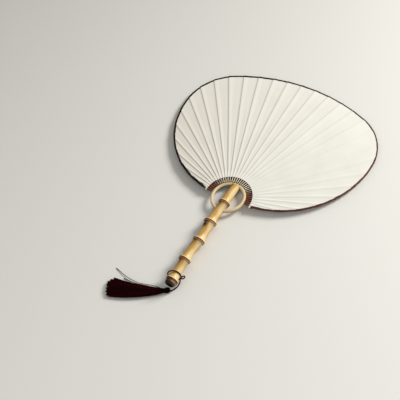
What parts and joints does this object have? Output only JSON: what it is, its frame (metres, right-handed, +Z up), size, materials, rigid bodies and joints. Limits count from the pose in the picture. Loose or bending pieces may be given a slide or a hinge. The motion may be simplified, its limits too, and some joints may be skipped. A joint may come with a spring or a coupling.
{
  "type": "round uchiwa fan",
  "caption": "Hand fan: pleated paper blade on radiating ribs, a bamboo hoop and jointed bamboo handle, with a corded tassel.",
  "frame": {"origin": "on the surface that the fan lies on, under the middle of the fan without its tassel", "axes": "+Y along the handle towards the blade's top, +Z up out of the surface, +X to the right"},
  "size_m": [0.3403, 0.4767, 0.0233],
  "materials": {
    "bamboo": "oiled",
    "hoop_bamboo": "satin",
    "ribs": "stained, pale cut edges",
    "wire": "dull",
    "paper": "matte",
    "edging": "matte",
    "cord": "silky",
    "tassel": "silky"
  },
  "bodies": {
    "fan": {"handle": "bamboo", "hoop": "hoop_bamboo", "rib_01": "ribs", "rib_02": "ribs", "rib_03": "ribs", "rib_04": "ribs", "rib_05": "ribs", "rib_06": "ribs", "rib_07": "ribs", "rib_08": "ribs", "rib_09": "ribs", "rib_10": "ribs", "rib_11": "ribs", "rib_12": "ribs", "rib_13": "ribs", "rib_14": "ribs", "rib_15": "ribs", "rib_16": "ribs", "rib_17": "ribs", "rib_18": "ribs", "rib_19": "ribs", "rib_20": "ribs", "rib_21": "ribs", "rib_22": "ribs", "rib_23": "ribs", "rib_24": "ribs", "rib_25": "ribs", "rib_26": "ribs", "rib_27": "ribs", "rib_28": "ribs", "rib_29": "ribs", "rib_30": "ribs", "rib_31": "ribs", "binding_wire": "wire", "front_paper": "paper", "back_paper": "paper", "rim_edging": "edging"},
    "cord": {"cord_loop": "cord", "cord_knot": "cord", "cord_bow": "cord", "hanger_cord": "cord"},
    "swivel": {"swivel_knot": "cord"},
    "tassel": {"tassel_head": "tassel", "tassel_binding": "tassel", "tassel_skirt": "tassel", "stray_strand_1": "tassel", "stray_strand_2": "tassel"}
  },
  "joints": [
    {"name": "cord_turn", "type": "hinge", "parent": "fan", "child": "cord", "pos_m": [0.00153, -0.19323, 0.01315], "axis": [-0.0523, 0.9982, -0.0277], "continuous": true},
    {"name": "tassel_yaw", "type": "hinge", "parent": "cord", "child": "swivel", "pos_m": [0.00581, -0.21338, 0.00315], "axis": [0, 0, 1], "range_deg": [-10, 90]},
    {"name": "tassel_swing", "type": "hinge", "parent": "swivel", "child": "tassel", "pos_m": [0.00581, -0.21338, 0.00315], "axis": [-0.5299, 0.848, 0], "range_deg": [0, 35]}
  ]
}
